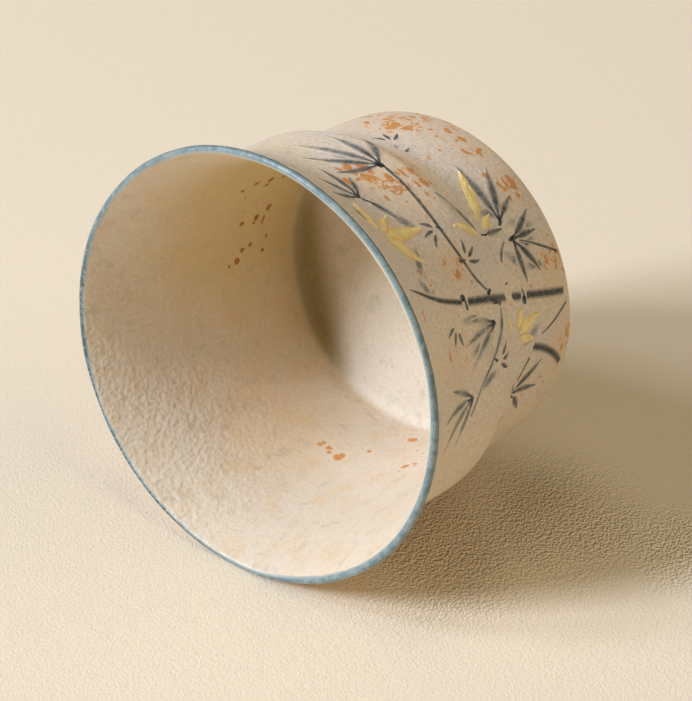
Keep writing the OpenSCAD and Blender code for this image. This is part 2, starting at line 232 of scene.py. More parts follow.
# Each ink node, its piece, how far its strokes are spread, their load of ink, and
# for a spray the degrees to the right of the front and the level of its middle
INK_STROKES = (
    ("main_cane", "bamboo_cane", 0.3, 1.25, None),
    ("cane_joints", "cane_joint_marks", 0.6, 0.9, None),
    ("short_cane", "cut_cane", 0.3, 1.2, None),
    ("right_branch", "right_branch_line", 1.1, 0.7, None),
    ("left_branch", "left_branch_line", 0.9, 0.5, None),
    ("middle_stem", "middle_stem_line", 0.9, 0.5, None),
    ("base_twigs", "base_twig_lines", 0.9, 1.0, None),
    ("twig_tips", "twig_buds", 1.1, 0.7, None),
    ("right_spray", "right_leaves", 0.75, 0.85, (35.2, 27.1)),
    ("rim_spray", "rim_leaves", 0.75, 0.8, (27.5, 37.4)),
    ("centre_spray", "centre_leaves", 0.85, 0.9, (4.5, 12.5)),
    ("base_spray", "base_leaves", 0.8, 1.0, (-2.2, 12.0)),
    ("near_left_spray", "near_left_leaves", 0.75, 0.2, (-20.5, 25.0)),
    ("far_left_spray", "far_left_leaves", 0.75, 0.5, (-38.5, 31.8)),
    ("low_left_spray", "low_left_leaves", 0.75, 1.0, (-51, 17.0)),
)
GOLD_STROKES = (
    ("gold_centre_spray", "gold_centre_leaves"),
    ("gold_rim_spray", "gold_rim_leaves"),
    ("gold_left_spray", "gold_left_leaves"),
)
# How far the strokes of gold are spread
GOLD_SPREAD = 0.6
# Distance in millimetres from the middle of a spray at which its ink has run out
LEAF_REACH = 11.5
# Height in millimetres over the wall past which a point is on the crest of its stroke
INK_CREST = 0.05
GOLD_CREST = 0.08
# Least share of its normal that a face on the upper side of a stroke turns outwards
UPPER_SIDE = 0.35
# Times that the faces of a stroke are divided to round it
STROKE_LEVELS = 3
# Height over the glaze and thickness in millimetres of each kind of mark
INK_HEIGHT = 0.032
INK_THICKNESS = 0.05
WASH_HEIGHT = 0.02
WASH_THICKNESS = 0.04
KNOT_HEIGHT = 0.045
KNOT_THICKNESS = 0.05
GOLD_HEIGHT = 0.05
GOLD_THICKNESS = 0.08
# Width and depth in millimetres of the raggedness of a mark's edge
WASH_RAGGED = (0.8, 0.5)
KNOT_RAGGED = (0.5, 0.4)
GOLD_RAGGED = (0.7, 0.48)
# Width and height in millimetres of the lumps in the raised gold
GOLD_LUMPS = (0.9, 0.24)

# Sides of a flat mark, and how far in millimetres off the wall it is made
MARK_SIDES = 9
MARK_LIFT = 0.3
# Distance in millimetres from the axis that is well clear of the cup
CLEAR_OF_CUP = 60
# Stalks of a spray: its middle (degrees, level), then the heading of each leaf
STALKS = (
    ((35.2, 27.1), (-36, -8, 19, 47, 76)),
    ((27.5, 37.4), (-32, 0, 36, 74, -150)),
    ((4.5, 12.5), (-2, -31, -62)),
    ((3.0, 17.9), (35, -95)),
    ((-2.2, 12.0), (-64, -92, -150, 180)),
    ((-20.5, 25.0), (72, 100, 128)),
    ((-38.5, 31.8), (62, 93, 123, 154)),
    ((-51.0, 17.0), (-5, -62, -98, -140, 168)),
)
STALK_LENGTH = 1.9
STALK_WIDTH = 0.42
# How far ahead of the spray's middle a stalk's own middle lies, as a share of its length
STALK_AHEAD = 0.45
# Presses of the brush: middle (degrees, level), heading, length and width in mm
KNOTS = (
    ((35.4, 27.2), 10, 1.7, 1.3),
    ((34.2, 27.0), 175, 2.4, 0.7),
    ((4.0, 12.6), -60, 1.3, 0.7),
    ((-2.0, 12.2), -80, 1.3, 0.7),
    ((-12.2, 24.6), -60, 1.6, 0.8),
    ((-16.6, 22.2), 100, 1.6, 0.7),
    ((-14.2, 17.4), -60, 1.6, 0.7),
    ((-20.9, 13.7), 80, 1.0, 1.3),
    ((-10.2, 30.6), 70, 1.1, 1.2),
    ((-31.2, 26.0), -120, 1.3, 0.5),
    ((9.8, 28.0), 40, 1.6, 0.6),
    ((-1.0, 27.4), -100, 1.5, 0.6),
)
# Pale leaves under the others: middle (degrees, level), heading, length and width in mm
WASHES = (
    ((1.0, 8.5), -112, 6.9, 2.3),
    ((-5.0, 9.5), -85, 6.3, 2.2),
    ((-9.0, 13.0), -140, 6.9, 2.0),
    ((8.5, 13.8), 60, 5.8, 2.0),
    ((-12.5, 9.5), -100, 5.8, 1.9),
    ((16.0, 33.5), -150, 6.3, 2.2),
    ((20.5, 41.5), 25, 5.8, 1.7),
    ((4.0, 36.5), 150, 6.3, 2.0),
    ((-3.5, 38.0), 30, 5.2, 1.9),
    ((-25.0, 29.0), 105, 6.9, 2.2),
    ((-17.0, 30.0), 75, 5.8, 1.9),
    ((-36.0, 28.0), -70, 6.3, 1.9),
    ((42.0, 30.0), 25, 7.5, 2.2),
    ((-33.0, 13.0), -60, 5.8, 1.9),
)
# How wet the pale leaves are, and how much of their ink is left at their edge
WASH_WETNESS = 0.3
WASH_EDGE = 0.15

# Main view: the camera's own axes and place in the cup's frame
CAMERA_RIGHT = (-0.4683, -0.6335, -0.6160)
CAMERA_UP = (0.8836, -0.3357, -0.3264)
CAMERA_BACK = (0.0, -0.6971, 0.7169)
CAMERA_PLACE_MM = (-4.24, -302.81, 337.73)
LENS_MM = 143.15
SENSOR_MM = 36
NEAREST_SEEN_MM = 10
# The table's plane, and the length of its side in metres
TABLE_NORMAL = (0.7201, -0.6776, 0.1495)
TABLE_POINT_MM = (-20.52, 19.34, 1.5)
TABLE_SIDE = 4
# Middle and reach in millimetres of the places where the leather's grain shows most, with
# its relief and painted light and shade; the first two lie farthest into the cup's
# shadow, and a painted shadow darkens them
LEATHER_PITS = (
    ((-38, 5, 22), 26),
    ((-43, -3, 8), 24),
    ((-48, -10, 4), 15),
    ((-55, -20, 0), 15),
)
PAINTED_SHADOW_PITS = LEATHER_PITS[:2]
# Direction across the table from which the sides of its grain get painted light and
# painted shade, and how far apart in millimetres the painted lit and dark side of a
# crease lie
GRAIN_PAINTED_LIGHT_WAY = (0.691, 0.669, -0.274)
GRAIN_SIDE_MM = 0.17
# Direction in which the leather comes nearer, and the reach over which its grain shows
# more and more
NEAR_SIDE = (0.0, -0.6971, 0.7169)
NEAR_REACH = (-30, 8)
# Where the lamps point, and how far from there they hang in metres; then each lamp's
# name, direction from there, width, height, power and colour
LAMP_TARGET_MM = (0, 0, 25)
LAMP_DISTANCE = 2.0
LAMPS = (
    ("key_window", (0.614, 0.013, 0.789), 0.25, 0.6, 38, KEY_LIGHT),
    ("high_window", (0.840, -0.097, 0.534), 0.4, 0.4, 9, KEY_LIGHT),
    ("top_fill", (0.78, -0.61, 0.10), 0.7, 0.7, 5.2, FILL_LIGHT),
    ("side_fill", (0.163, -0.965, -0.155), 1.6, 1.6, 10, FILL_LIGHT),
    ("back_fill", (-0.70, 0.69, -0.20), 1.6, 1.6, 6, FILL_LIGHT),
)
# Strength of the light from all round
ROOM_LIGHT = 0.1


# Working on a piece
def pick_none():
    if bpy.context.object and bpy.context.object.mode != "OBJECT":
        bpy.ops.object.mode_set(mode="OBJECT")
    bpy.ops.object.select_all(action="DESELECT")


def pick(piece):
    pick_none()
    piece.select_set(True)
    bpy.context.view_layer.objects.active = piece


def into_edit(piece, kind="VERT"):
    """Opens a piece for editing, with all of it selected."""
    pick(piece)
    bpy.ops.object.mode_set(mode="EDIT")
    bpy.ops.mesh.select_mode(type=kind)
    bpy.ops.mesh.select_all(action="SELECT")


def select_where(piece, test):
    """Selects the vertices that pass a test on their place."""
    bpy.ops.mesh.select_all(action="DESELECT")
    bpy.ops.object.mode_set(mode="OBJECT")
    for point in piece.data.vertices:
        point.select = test(point.co)
    bpy.ops.object.mode_set(mode="EDIT")


def merge_points(gap_mm):
    bpy.ops.mesh.select_all(action="SELECT")
    bpy.ops.mesh.remove_doubles(threshold=gap_mm * MM)


def copy_of(node, name):
    """A new piece with its own copy of a CAD node's mesh, its loose triangles merged."""
    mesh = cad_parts[node].data.copy()
    mesh.materials.clear()
    piece = bpy.data.objects.new(name, mesh)
    bpy.context.scene.collection.objects.link(piece)
    into_edit(piece)
    merge_points(CAD_GAP)
    bpy.ops.object.mode_set(mode="OBJECT")
    bpy.ops.mesh.customdata_custom_splitnormals_clear()
    return piece


def apply_modifier(piece, kind, **values):
    pick(piece)
    modifier = piece.modifiers.new(kind.title(), kind)
    for key, value in values.items():
        setattr(modifier, key, value)
    bpy.ops.object.modifier_apply(modifier=modifier.name)


def rounded(piece, levels):
    apply_modifier(piece, "SUBSURF", levels=levels, render_levels=levels)


def thickened(piece, thickness_mm):
    apply_modifier(piece, "SOLIDIFY", thickness=thickness_mm * MM, offset=-1)


def lay_on(piece, coat, height_mm):
    """Moves every point of a piece to the same height over the coat."""
    apply_modifier(
        piece, "SHRINKWRAP", target=coat, wrap_method="NEAREST_SURFACEPOINT",
        wrap_mode="ABOVE_SURFACE", offset=height_mm * MM,
    )


def cloud(name, width_mm, kind="GRAYSCALE"):
    texture = bpy.data.textures.new(name, "CLOUDS")
    texture.noise_scale = width_mm * MM
    texture.noise_depth = 1
    texture.cloud_type = kind
    return texture


def moved_by(piece, texture, depth_mm):
    """Moves every point as its place asks, so that coats that meet stay together."""
    apply_modifier(
        piece, "DISPLACE", texture=texture, texture_coords="LOCAL",
        direction="RGB_TO_XYZ", strength=depth_mm * MM, mid_level=0.5,
    )


def ragged_edge(piece, width_mm, depth_mm):
    moved_by(piece, cloud(piece.name + "_edge", width_mm, "COLOR"), depth_mm)


# Parts of a finish
def new_finish(name):
    finish = bpy.data.materials.new(name)
    finish.use_nodes = True
    return finish


def add(finish, kind, **values):
    made = finish.node_tree.nodes.new(kind)
    for key, value in values.items():
        setattr(made, key, value)
    return made


def feed(finish, source, socket):
    """Links one socket to another, or sets it where the source is a plain value."""
    if isinstance(source, bpy.types.NodeSocket):
        finish.node_tree.links.new(source, socket)
    else:
        socket.default_value = source


def place_on_piece(finish):
    return add(finish, "ShaderNodeTexCoord").outputs["Object"]


def attribute_of_piece(finish, name):
    return add(finish, "ShaderNodeAttribute", attribute_name=name).outputs["Fac"]


def stretched(finish, place, shares):
    mapping = add(finish, "ShaderNodeMapping")
    feed(finish, place, mapping.inputs["Vector"])
    mapping.inputs["Scale"].default_value = shares
    return mapping.outputs["Vector"]


def parts_of(finish, place):
    """A place's own X, Y and Z."""
    made = add(finish, "ShaderNodeSeparateXYZ")
    feed(finish, place, made.inputs[0])
    return made.outputs


def flat_place(finish, across, up):
    made = add(finish, "ShaderNodeCombineXYZ")
    feed(finish, across, made.inputs["X"])
    feed(finish, up, made.inputs["Y"])
    return made.outputs[0]


def sums(finish, operation, first, second=0.0, clamp=False):
    made = add(finish, "ShaderNodeMath", operation=operation, use_clamp=clamp)
    feed(finish, first, made.inputs[0])
    feed(finish, second, made.inputs[1])
    return made.outputs[0]


def times(finish, first, second):
    return sums(finish, "MULTIPLY", first, second)


def plus(finish, first, second):
    return sums(finish, "ADD", first, second)


def less(finish, first, second):
    return sums(finish, "SUBTRACT", first, second)


def larger_of(finish, first, second):
    return sums(finish, "MAXIMUM", first, second)


def swing(finish, noise, width):
    """Noise that runs from 0 to 1, made to swing about 0 over the width given."""
    return times(finish, less(finish, noise, 0.5), width)


def vector_sums(finish, operation, first, second=(0, 0, 0)):
    made = add(finish, "ShaderNodeVectorMath", operation=operation)
    feed(finish, first, made.inputs[0])
    made.inputs[1].default_value = second
    return made.outputs


def reach_along(finish, place, way):
    """How far a point lies from the middle of the foot in one direction."""
    return vector_sums(finish, "DOT_PRODUCT", place, way)["Value"]


def grain(finish, place, width_mm, detail=2.0, roughness=0.5, distortion=0.0):
    """Noise from 0 to 1 whose features are about as wide as given."""
    made = add(finish, "ShaderNodeTexNoise")
    feed(finish, place, made.inputs["Vector"])
    made.inputs["Scale"].default_value = 1 / (width_mm * MM)
    made.inputs["Detail"].default_value = detail
    made.inputs["Roughness"].default_value = roughness
    made.inputs["Distortion"].default_value = distortion
    return made.outputs["Fac"]


def step(finish, value, span, out=(0, 1)):
    """A smooth step: as the value goes over the span, the result goes over out."""
    made = add(finish, "ShaderNodeMapRange", interpolation_type="SMOOTHSTEP")
    feed(finish, value, made.inputs["Value"])
    made.inputs["From Min"].default_value, made.inputs["From Max"].default_value = span
    made.inputs["To Min"].default_value, made.inputs["To Max"].default_value = out
    return made.outputs["Result"]


def step_mm(finish, length, span_mm, out=(0, 1)):
    """The same step over a span in millimetres."""
    start, end = span_mm
    return step(finish, length, (start * MM, end * MM), out)


def band_mm(finish, length, rise_mm, fall_mm):
    """1 within a band of lengths, with a soft rise and a soft fall."""
    rise = step_mm(finish, length, rise_mm)
    return times(finish, rise, step_mm(finish, length, fall_mm))


def mixed(finish, share, first, second, kind="MIX"):
    made = add(finish, "ShaderNodeMix", data_type="RGBA", blend_type=kind)
    feed(finish, share, made.inputs["Factor"])
    feed(finish, first, made.inputs[6])
    feed(finish, second, made.inputs[7])
    return made.outputs[2]


def shaded(finish, colour, value):
    """A colour made lighter or darker by a value about 1."""
    grey = add(finish, "ShaderNodeCombineColor")
    for channel in grey.inputs:
        feed(finish, value, channel)
    return mixed(finish, 1.0, colour, grey.outputs[0], "MULTIPLY")


def patches(finish, place, spots):
    """1 in the middle of any of the listed patches, falling to 0 at its reach."""
    total = None
    for middle, reach in spots:
        gap = vector_sums(finish, "DISTANCE", place, Vector(middle) * MM)["Value"]
        near = step_mm(finish, gap, (reach, PATCH_CORE * reach))
        total = near if total is None else larger_of(finish, total, near)
    return total


def bumped(finish, height, depth_mm, below=None):
    made = add(finish, "ShaderNodeBump")
    made.inputs["Strength"].default_value = 1.0
    made.inputs["Distance"].default_value = depth_mm * MM
    feed(finish, height, made.inputs["Height"])
    if below is not None:
        feed(finish, below, made.inputs["Normal"])
    return made.outputs["Normal"]


def dressed(finish, colour, roughness, relief, gloss=0.5):
    """Hands the finished colour, roughness, relief and gloss to the shader."""
    shader = finish.node_tree.nodes["Principled BSDF"]
    feed(finish, colour, shader.inputs["Base Color"])
    feed(finish, roughness, shader.inputs["Roughness"])
    feed(finish, relief, shader.inputs["Normal"])
    shader.inputs["Specular IOR Level"].default_value = gloss
    return finish


def mixed_shaders(owner, share, first, second, output):
    """Ends the nodes of a finish or of the world in a mix of two shaders."""
    both = add(owner, "ShaderNodeMixShader")
    feed(owner, share, both.inputs[0])
    feed(owner, first, both.inputs[1])
    feed(owner, second, both.inputs[2])
    feed(owner, both.outputs[0], owner.node_tree.nodes[output].inputs["Surface"])


# Iron in the glaze
def round_the_wall(finish, place):
    """Distance round the cup and level, as a flat pair of coordinates in metres."""
    parts = parts_of(finish, place)
    angle = sums(finish, "ARCTAN2", parts["X"], parts["Y"])
    return flat_place(finish, times(finish, angle, WALL_RADIUS * MM), parts["Z"])


def iron_specks(finish, place, flat, patch):
    """Specks of iron, drawn out along the turning and thick only in the patches."""
    dabs = grain(finish, flat, 1.0, detail=3.0, roughness=0.55, distortion=0.4)
    crumbs = grain(finish, flat, 0.5)
    clump = step(finish, grain(finish, place, 3.2), (0.35, 0.65))
    lift = times(finish, times(finish, patch, clump), SPECK_STRENGTH)
    large = step(finish, plus(finish, dabs, lift), (0.74, 0.83))
    small = step(finish, plus(finish, crumbs, lift), (0.80, 0.90))
    return larger_of(finish, large, small)


def iron_drops(finish, place, over, spots, spacing_mm, largest_mm):
    """Rounded specks of iron of many sizes, set apart, and only in the patches."""
    cells = add(finish, "ShaderNodeTexVoronoi")
    feed(finish, over, cells.inputs["Vector"])
    cells.inputs["Scale"].default_value = 1 / (spacing_mm * MM)
    chance = add(finish, "ShaderNodeSeparateColor")
    feed(finish, cells.outputs["Color"], chance.inputs[0])
    ragged = swing(finish, grain(finish, place, 0.7, detail=3.0), 0.9)
    scarce = sums(finish, "POWER", chance.outputs[0], DROP_SCARCITY)
    size = times(finish, scarce, largest_mm / spacing_mm)
    fading = sums(finish, "POWER", patches(finish, place, spots), 0.5)
    size = times(finish, size, fading)
    gap = plus(finish, cells.outputs["Distance"], times(finish, ragged, size))
    return step(finish, less(finish, size, gap), (-0.02, 0.06))


# The matt glaze outside, and what lies under and on it
OuterLook = namedtuple("OuterLook", "place colour roughness relief fine dust")


def outer_ground(finish, place, parts, cloudy):
    """Beige, pink and lilac in clouds, greyer low down and sandy on the left."""
    broad = grain(finish, place, 14, detail=3.0, roughness=0.55)
    colour = mixed(finish, step(finish, broad, (0.35, 0.65)), WARM_BEIGE, PINK_GREY)
    lilac = step(finish, cloudy, (0.52, 0.75), (0, 0.6))
    colour = mixed(finish, lilac, colour, LILAC_GREY)
    low_wall = step_mm(finish, parts["Z"], LOW_WALL, (0, 0.25))
    colour = mixed(finish, low_wall, colour, LILAC_GREY)
    aside = sums(finish, "ABSOLUTE", less(finish, parts["X"], FRONT_MIDDLE * MM))
    front = step_mm(finish, aside, FRONT_REACH, (0, 0.6))
    colour = mixed(finish, front, colour, PINK_GREY)
    left_wall = step_mm(finish, parts["X"], LEFT_WALL, (0, 0.6))
    return mixed(finish, left_wall, colour, SAND)


def groove_painted_light_and_shade(finish, parts):
    """On the lit side, painted light over the shoulder and painted shade on the crest."""
    lit_wall = step_mm(finish, parts["X"], LIT_WALL)
    shoulder = times(finish, band_mm(finish, parts["Z"], *SHOULDER), SHOULDER_PAINTED_LIGHT)
    crest = times(finish, band_mm(finish, parts["Z"], *CREST), CREST_PAINTED_SHADE)
    painted_light_and_shade = less(finish, shoulder, crest)
    return plus(finish, times(finish, painted_light_and_shade, lit_wall), 1.0)


def with_iron(finish, place, ground, fine):
    """The ground colour with its iron: specks, separate dabs and heavy pools."""
    flat = stretched(finish, round_the_wall(finish, place), TURNED_OUT)
    patch = patches(finish, place, OUTSIDE_SPECKS)
    specks = iron_specks(finish, place, flat, patch)
    dabs = iron_drops(finish, place, flat, OUTSIDE_DABS, *OUTSIDE_DROPS)
    specks = larger_of(finish, specks, dabs)
    blobs = grain(finish, place, 1.6, distortion=0.6)
    heavy = times(finish, patches(finish, place, OUTSIDE_POOLS), POOL_STRENGTH)
    pools = step(finish, plus(finish, blobs, heavy), (0.66, 0.74))
    full = larger_of(finish, pools, step(finish, specks, (0.55, 1.0)))
    rusty = mixed(finish, full, PALE_RUST, RUST)
    rusty = mixed(finish, step(finish, fine, (0.52, 0.75), (0, 0.6)), rusty, DARK_RUST)
    colour = mixed(finish, times(finish, patch, 0.38), ground, PALE_RUST)
    colour = mixed(finish, times(finish, specks, 0.9), colour, rusty)
    return mixed(finish, times(finish, pools, 0.85), colour, rusty)


def outer_glaze_look(finish):
    """All of the matt glaze outside, which the ink and the lip share."""
    place = place_on_piece(finish)
    parts = parts_of(finish, place)
    cloudy = grain(finish, place, 5, detail=4.0, roughness=0.6)
    fine = grain(finish, place, 0.55, detail=4.0, roughness=0.7)
    dust = grain(finish, place, DUST_MM, roughness=0.6)
    colour = outer_ground(finish, place, parts, cloudy)
    colour = shaded(finish, colour, step(finish, fine, (0.2, 0.8), (0.78, 1.16)))
    # Painted light on the groove's shoulder and painted shade on its crest, on the lit
    # side
    colour = shaded(finish, colour, groove_painted_light_and_shade(finish, parts))
    colour = mixed(finish, step(finish, dust, (0.66, 0.76), (0, 0.35)), colour, PEPPER)
    colour = with_iron(finish, place, colour, fine)
    roughness = step(finish, fine, (0.2, 0.8), MATT_ROUGHNESS)
    pores = grain(finish, place, 0.7, detail=3.0, roughness=0.6)
    relief = bumped(finish, cloudy, 0.10)
    relief = bumped(finish, pores, 0.07, relief)
    return OuterLook(place, colour, roughness, relief, fine, dust)


def outer_glaze_finish():
    finish = new_finish("matt_outer_glaze")
    glaze = outer_glaze_look(finish)
    return dressed(finish, glaze.colour, glaze.roughness, glaze.relief, MATT_GLOSS)


def with_grit(finish, ink, dust):
    """Ink made uneven by the finest grain of the glaze."""
    return shaded(finish, ink, step(finish, dust, (0.3, 0.75), (0.75, 1.5)))


def ink_finish():
    """Ink under the same glaze: it fades into the bare glaze towards a stroke's edge."""
    finish = new_finish("bamboo_ink")
    glaze = outer_glaze_look(finish)
    load = attribute_of_piece(finish, "load")
    wet = attribute_of_piece(finish, "wet")
    edge = plus(finish, load, swing(finish, glaze.fine, 0.5))
    cover = step(finish, edge, (0.0, 0.85))
    blot = grain(finish, glaze.place, 1.8, detail=3.0, roughness=0.6)
    pooled = plus(finish, wet, step(finish, blot, (0.3, 0.7), (-0.3, 0.3)))
    pooled = plus(finish, pooled, times(finish, load, 0.15))
    ink = mixed(finish, step(finish, pooled, (0.0, 0.5)), INK_THIN, INK_MIDDLE)
    ink = mixed(finish, step(finish, pooled, (0.5, 1.2)), ink, INK_DENSE)
    ink = with_grit(finish, ink, glaze.dust)
    body = step(finish, pooled, (-0.2, 0.8), (0.55, 0.97))
    bare = step(finish, glaze.dust, (0.52, 0.70), (0, 0.38))
    cover = sums(finish, "SUBTRACT", times(finish, cover, body), bare, clamp=True)
    colour = mixed(finish, cover, glaze.colour, ink)
    return dressed(finish, colour, glaze.roughness, glaze.relief, MATT_GLOSS)


def knot_finish():
    """The same ink where the brush rested: dense to its edge."""
    finish = new_finish("knot_ink")
    place = place_on_piece(finish)
    blot = grain(finish, place, 0.9, detail=3.0, roughness=0.6)
    dust = grain(finish, place, DUST_MM, roughness=0.6)
    ink = mixed(finish, step(finish, blot, (0.35, 0.65)), INK_DENSE, INK_MIDDLE)
    ink = with_grit(finish, ink, dust)
    roughness = step(finish, dust, (0.2, 0.8), MATT_ROUGHNESS)
    return dressed(finish, ink, roughness, bumped(finish, dust, 0.02), MATT_GLOSS)


def gold_finish():
    """Raised gold, worn deeper towards the edge of a stroke."""
    finish = new_finish("raised_gold")
    place = place_on_piece(finish)
    fine = grain(finish, place, 0.5, detail=4.0, roughness=0.65)
    broad = grain(finish, place, 2.2)
    load = attribute_of_piece(finish, "load")
    worn = plus(finish, times(finish, load, 0.5), fine)
    colour = mixed(finish, step(finish, worn, (0.35, 0.85)), GOLD_DEEP, GOLD_PALE)
    colour = shaded(finish, colour, step(finish, broad, (0.3, 0.7), (0.92, 1.06)))
    roughness = step(finish, fine, (0.3, 0.7), (0.36, 0.55))
    return dressed(finish, colour, roughness, bumped(finish, fine, 0.04), GOLD_GLOSS)


# The satin glaze in the bowl
def bowl_colour(finish, place, level, mottle):
    """Tan to pale across the bowl, partly painted light, with a pale floor, painted shade
    in one corner, warm clouds and iron drops.
    """
    broad = grain(finish, place, 13, detail=3.0, roughness=0.55)
    drift = swing(finish, broad, PALE_DRIFT * MM)
    along = plus(finish, reach_along(finish, place, LIT_PALE_SIDE), drift)
    pale = step_mm(finish, along, PALE_REACH)
    by_rim = times(
        finish,
        step_mm(finish, level, RIM_LEVELS, (0, 0.9)),
        step_mm(finish, reach_along(finish, place, RIM_SIDE), RIM_REACH),
    )
    on_floor = step_mm(finish, level, FLOOR_EDGE)
    corner = step_mm(finish, reach_along(finish, place, SHADED_CORNER_SIDE), SHADED_CORNER_REACH)
    warm = patches(finish, place, WARM_BOWL)
    # Pale where the light falls: partly the glaze's own tone, partly painted light
    colour = mixed(finish, pale, BOWL_TAN, BOWL_PALE)
    colour = mixed(finish, by_rim, colour, BOWL_PALE)
    colour = mixed(finish, times(finish, on_floor, 0.6), colour, BOWL_FLOOR)
    colour = mixed(finish, times(finish, warm, 0.45), colour, BOWL_AMBER)
    # Painted shade: brown in the floor's corner, where the rim's shadow falls
    colour = mixed(finish, times(finish, corner, on_floor), colour, BOWL_PAINTED_SHADE)
    moss = step(finish, mottle, (0.53, 0.70), (0, 0.4))
    colour = mixed(finish, moss, colour, BOWL_MOSS)
    clouds = grain(finish, place, 4.5, detail=4.0, roughness=0.65)
    amber = step(finish, clouds, (0.46, 0.72), (0, 0.38))
    amber = times(finish, amber, less(finish, 1.0, on_floor))
    colour = mixed(finish, amber, colour, BOWL_AMBER)
    fine = grain(finish, place, 0.45, detail=3.0, roughness=0.6)
    colour = shaded(finish, colour, step(finish, fine, (0.2, 0.8), (0.92, 1.07)))
    specks = iron_drops(finish, place, place, INSIDE_SPECKS, *INSIDE_DROPS)
    rusty = mixed(finish, pale, DARK_RUST, RUST)
    return mixed(finish, times(finish, specks, 0.95), colour, rusty)


def bowl_relief(finish, place, level):
    """Small folds and peel on one side of the bowl, and fine pits all over."""
    folded_way = reach_along(finish, place, FOLDED_SIDE)
    folded = step_mm(finish, folded_way, FOLDED_REACH, (0.1, 1))
    folded = times(finish, folded, step_mm(finish, level, FOLDED_LEVELS, (0.2, 1)))
    folds = times(finish, grain(finish, place, 1.8, detail=1.0, roughness=0.4), folded)
    peel = times(finish, grain(finish, place, 0.8, detail=1.0, roughness=0.4), folded)
    pits = grain(finish, place, 0.45, detail=1.0)
    relief = bumped(finish, folds, 0.15)
    relief = bumped(finish, peel, 0.20, relief)
    return bumped(finish, pits, 0.03, relief)


def inner_glaze_look(finish, place):
    """Colour, roughness and relief of the bowl's satin glaze, which the lip shares."""
    level = reach_along(finish, place, (0, 0, 1))
    mottle = grain(finish, place, 3.2, detail=5.0, roughness=0.65, distortion=0.4)
    colour = bowl_colour(finish, place, level, mottle)
    roughness = step(finish, mottle, (0.3, 0.7), (0.36, 0.48))
    roughness = plus(finish, roughness, step_mm(finish, level, ROUGHER_DOWN, (0, 0.3)))
    return colour, roughness, bowl_relief(finish, place, level)


def inner_glaze_finish():
    finish = new_finish("warm_inner_glaze")
    return dressed(finish, *inner_glaze_look(finish, place_on_piece(finish)))


# The blue lip and the bare clay
def angle_over_lip(finish, place):
    """Angle over the lip's rounding: 0 on top, growing inwards."""
    parts = parts_of(finish, place)
    flat = flat_place(finish, parts["X"], parts["Y"])
    reach = vector_sums(finish, "LENGTH", flat)["Value"]
    inward = less(finish, LIP_RADIUS * MM, reach)
    rise = less(finish, parts["Z"], LIP_LEVEL * MM)
    return sums(finish, "ARCTAN2", inward, rise)


def lip_glaze_finish():
    """Blue glaze on the edge of the lip, between the two other glazes."""
    finish = new_finish("blue_lip_glaze")
    outside = outer_glaze_look(finish)
    place = outside.place
    inner, roughness, relief = inner_glaze_look(finish, place)
    blotch = grain(finish, place, 1.6, detail=3.0, roughness=0.6)
    speckle = grain(finish, place, 0.4, roughness=0.6)
    run_way = reach_along(finish, place, RUN_SIDE)
    run = times(finish, run_way, RUN_ANGLE / (LIP_RADIUS * MM))
    broad_from = (BROAD_START * LIP_RADIUS, BROAD_FULL * LIP_RADIUS)
    broad_way = reach_along(finish, place, BROAD_SIDE)
    broad = step_mm(finish, broad_way, broad_from, (0, BROAD_ANGLE))
    wander = swing(finish, blotch, BLUE_WANDER)
    wander = plus(finish, wander, swing(finish, grain(finish, place, 9), BLUE_WANDER))
    outer_edge = plus(finish, less(finish, angle_over_lip(finish, place), run), wander)
    edge = less(finish, outer_edge, broad)
    blue = mixed(finish, step(finish, blotch, (0.40, 0.60)), LIP_PALE, LIP_BLUE)
    # Milky inner part of the blue, also a painted highlight along the lip
    blue = mixed(finish, step(finish, edge, MILKY_AND_HIGHLIGHT_PART, (0, 0.45)), blue, LIP_MILK_AND_HIGHLIGHT)
    mottled_way = reach_along(finish, place, MOTTLED_SIDE)
    mottled = step_mm(finish, mottled_way, MOTTLED_REACH, (0.1, 1))
    core = times(finish, step(finish, edge, CORE_START), step(finish, edge, CORE_END))
    core = times(finish, core, step(finish, speckle, (0.38, 0.58), (0.15, 0.95)))
    rim_line = step(finish, outer_edge, RIM_LINE, (0, 0.75))
    spots = step(finish, speckle, (0.60, 0.72), (0, 0.4))
    dark = larger_of(finish, times(finish, core, mottled), rim_line)
    dark = larger_of(finish, dark, spots)
    blue = mixed(finish, dark, blue, LIP_DEEP)
    colour = mixed(finish, step(finish, outer_edge, BLUE_START), outside.colour, blue)
    colour = mixed(finish, step(finish, edge, BLUE_END), colour, inner)
    return dressed(finish, colour, roughness, bumped(finish, speckle, 0.02, relief))


def clay_finish():
    finish = new_finish("bare_clay")
    place = place_on_piece(finish)
    broad = grain(finish, place, 6, detail=3.0)
    grit = grain(finish, place, 0.35, detail=4.0, roughness=0.7)
    turning = grain(finish, stretched(finish, place, (0.05, 0.05, 1)), 0.5)
    colour = mixed(finish, step(finish, broad, (0.35, 0.65)), CLAY_BUFF, CLAY_BROWN)
    colour = shaded(finish, colour, step(finish, grit, (0.25, 0.75), (0.8, 1.15)))
    relief = bumped(finish, turning, 0.06)
    return dressed(finish, colour, 0.85, bumped(finish, grit, 0.05, relief))


# The vessel
def show(piece, node, finish):
    piece.data.materials.append(finish)
    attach(piece, "root")
    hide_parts(node)


def cut_through_axis(across, clear_outer):
    """Cuts the piece with a plane through its axis and clears what lies behind it."""
    bpy.ops.mesh.select_all(action="SELECT")
    bpy.ops.mesh.bisect(
        plane_co=(0, 0, 0), plane_no=across, use_fill=False,
        clear_inner=True, clear_outer=clear_outer, threshold=CUT_GAP * MM,
    )


